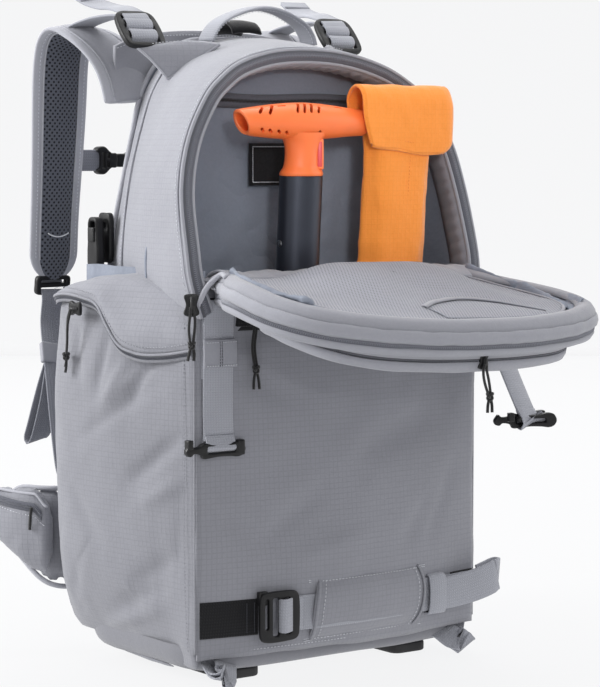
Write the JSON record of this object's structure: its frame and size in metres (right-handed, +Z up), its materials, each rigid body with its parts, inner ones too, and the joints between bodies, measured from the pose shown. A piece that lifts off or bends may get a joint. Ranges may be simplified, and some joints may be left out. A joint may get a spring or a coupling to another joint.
{
  "type": "ski backpack",
  "caption": "Ski touring backpack with a fold-down lid over a tool compartment, side pockets, padded harness and hip belt, carry straps, and a stowed shovel handle and probe bag.",
  "frame": {"origin": "on the floor under the middle of the pack body, at the soles of the base skids", "axes": "+X to the right seen from the front, +Y towards the wearer's back, +Z up the pack"},
  "size_m": [0.384, 0.5392, 0.5888],
  "materials": {
    "ripstop": "light cool grey ripstop",
    "inner_fabric": "mid grey lining",
    "webbing": "woven light grey webbing",
    "black_webbing": "black webbing and reinforcement",
    "foam": "dark spacer mesh over foam",
    "mesh": "grey elastic mesh",
    "plastic": "moulded black acetal",
    "zip": "coil zip",
    "cord": "braided black cord",
    "sheet": "white polyethylene",
    "stay": "mill aluminium",
    "rubber": "moulded rubber",
    "shaft": "dark anodised",
    "orange_plastic": "moulded orange",
    "orange_fabric": "orange ripstop",
    "button": "plated steel"
  },
  "bodies": {
    "pack_body": {"upper_gusset": "ripstop", "front_panel": "ripstop", "base_panel": "ripstop", "side_panels": "ripstop", "divider_panel": "inner_fabric", "back_panel": "inner_fabric", "frame_sheet": "sheet", "frame_stays": "stay", "back_pads": "foam", "side_pockets": "ripstop", "side_pocket_lids": "ripstop", "foot_skids": "rubber", "lash_loops": "webbing", "zip_tracks": "zip", "inner_label": "black_webbing", "anchor_patches": "black_webbing", "strap_sleeve": "ripstop", "lower_strap": "webbing", "receiver_plates": "plastic", "shoulder_yoke": "foam", "hose_port_cover": "black_webbing", "ladder_buckles": "plastic", "harness_webbing": "webbing"},
    "lid": {"lid_panel": "ripstop", "lid_zip_track": "zip", "lid_outer_pocket": "ripstop", "lid_mesh_pocket": "mesh"},
    "lid_slider": {"lid_pocket_slider": "cord"},
    "tool_sleeve": {"tool_sleeve": "inner_fabric"},
    "shovel": {"shovel_shaft": "shaft", "shovel_grip": "orange_plastic"},
    "shovel_button": {"shovel_button": "button"},
    "probe": {"probe_bag": "orange_fabric"},
    "probe_flap": {"probe_bag_flap": "orange_fabric"},
    "strap_left": {"drop_strap_left": "webbing"},
    "hook_left": {"strap_hook_left": "plastic"},
    "strap_right": {"drop_strap_right": "webbing"},
    "hook_right": {"strap_hook_right": "plastic"},
    "lower_hook": {"lower_hook": "plastic"},
    "grab_handle": {"grab_handle": "webbing"},
    "main_slider_left": {"main_slider_left": "cord"},
    "main_slider_right": {"main_slider_right": "cord"},
    "side_slider_left": {"side_slider_left": "cord"},
    "side_slider_right": {"side_slider_right": "cord"},
    "latch_left": {"receiver_latch_left": "plastic"},
    "latch_right": {"receiver_latch_right": "plastic"},
    "harness": {"shoulder_straps": "foam", "strap_adjusters": "plastic", "sternum_web_left": "webbing", "sternum_buckle_socket": "plastic"},
    "sternum_release": {"sternum_buckle_plug": "plastic", "sternum_web_right": "webbing"},
    "hip_left": {"hip_wing_left": "foam", "hip_pocket_left": "ripstop", "hip_web_left": "webbing", "hip_buckle_socket": "plastic"},
    "hip_right": {"hip_wing_right": "foam", "hip_pocket_right": "ripstop", "hip_web_right": "webbing", "hip_buckle_plug": "plastic"}
  },
  "joints": [
    {"name": "lid_hinge", "type": "hinge", "parent": "pack_body", "child": "lid", "pos_m": [0, -0.107, 0.345], "axis": [1, 0, 0], "range_deg": [-113.77, 15]},
    {"name": "lid_pocket_slider_travel", "type": "slide", "parent": "lid", "child": "lid_slider", "axis": [1, 0, 0], "range_m": [-0.04, 0.045]},
    {"name": "tool_sleeve_tuck", "type": "slide", "parent": "pack_body", "child": "tool_sleeve", "axis": [0, 0.175, -0.9846], "range_m": [-0.0084, 0.0458]},
    {"name": "shovel_lift", "type": "slide", "parent": "tool_sleeve", "child": "shovel", "axis": [0, -0.0698, 0.9976], "range_m": [0, 0.33]},
    {"name": "shovel_button_press", "type": "slide", "parent": "shovel", "child": "shovel_button", "axis": [1, 0, 0], "range_m": [0, 0.003], "stiffness_N_per_m": 400},
    {"name": "probe_lift", "type": "slide", "parent": "tool_sleeve", "child": "probe", "axis": [0, -0.0698, 0.9976], "range_m": [0, 0.33]},
    {"name": "probe_flap_open", "type": "hinge", "parent": "probe", "child": "probe_flap", "pos_m": [0.073, -0.079, 0.505], "axis": [-1, 0, 0], "range_deg": [0, 100]},
    {"name": "drop_strap_left_swing", "type": "hinge", "parent": "pack_body", "child": "strap_left", "pos_m": [-0.131, -0.1104, 0.318], "axis": [1, 0, 0], "range_deg": [-45, 0]},
    {"name": "strap_hook_left_swing", "type": "hinge", "parent": "strap_left", "child": "hook_left", "pos_m": [-0.131, -0.1124, 0.205], "axis": [1, 0, 0], "range_deg": [-45, 60]},
    {"name": "drop_strap_right_swing", "type": "hinge", "parent": "pack_body", "child": "strap_right", "pos_m": [0.152, -0.116, 0.314], "axis": [0.9404, 0.3401, 0], "range_deg": [-20, 10]},
    {"name": "strap_hook_right_swing", "type": "hinge", "parent": "strap_right", "child": "hook_right", "pos_m": [0.17, -0.16, 0.214], "axis": [0.9404, 0.3401, 0], "range_deg": [-45, 60]},
    {"name": "lower_hook_swing", "type": "hinge", "parent": "pack_body", "child": "lower_hook", "pos_m": [-0.0605, -0.114, 0.057], "axis": [0, 0, 1], "range_deg": [0, 60]},
    {"name": "grab_handle_fold", "type": "hinge", "parent": "pack_body", "child": "grab_handle", "pos_m": [0.012, 0.034, 0.549], "axis": [1, 0, 0], "range_deg": [-12, 30]},
    {"name": "main_slider_left_travel", "type": "slide", "parent": "pack_body", "child": "main_slider_left", "axis": [0, 0.204, 0.979], "range_m": [0, 0.06]},
    {"name": "main_slider_right_travel", "type": "slide", "parent": "pack_body", "child": "main_slider_right", "axis": [0, 0.204, 0.979], "range_m": [0, 0.06]},
    {"name": "side_slider_left_travel", "type": "slide", "parent": "pack_body", "child": "side_slider_left", "axis": [0, 1, 0], "range_m": [-0.03, 0.025]},
    {"name": "side_slider_right_travel", "type": "slide", "parent": "pack_body", "child": "side_slider_right", "axis": [0, 1, 0], "range_m": [-0.03, 0.025]},
    {"name": "receiver_latch_left_swing", "type": "hinge", "parent": "pack_body", "child": "latch_left", "pos_m": [-0.131, 0.083, 0.389], "axis": [1, 0, 0], "range_deg": [-20, 30]},
    {"name": "receiver_latch_right_swing", "type": "hinge", "parent": "pack_body", "child": "latch_right", "pos_m": [0.131, 0.083, 0.389], "axis": [1, 0, 0], "range_deg": [-20, 30]},
    {"name": "harness_swing", "type": "hinge", "parent": "pack_body", "child": "harness", "pos_m": [0, 0.163, 0.552], "axis": [1, 0, 0], "range_deg": [0, 35]},
    {"name": "sternum_buckle_release", "type": "slide", "parent": "harness", "child": "sternum_release", "axis": [1, 0, 0], "range_m": [0, 0.014]},
    {"name": "hip_wing_left_swing", "type": "hinge", "parent": "pack_body", "child": "hip_left", "pos_m": [-0.07, 0.1125, 0.097], "axis": [0, 0, 1], "range_deg": [-10, 4]},
    {"name": "hip_wing_right_swing", "type": "hinge", "parent": "pack_body", "child": "hip_right", "pos_m": [0.07, 0.1125, 0.097], "axis": [0, 0, -1], "range_deg": [-10, 4]}
  ],
  "couplings": [
    {"joint": "tool_sleeve_tuck", "follows": "lid_hinge", "m_per_rad": -0.023}
  ]
}
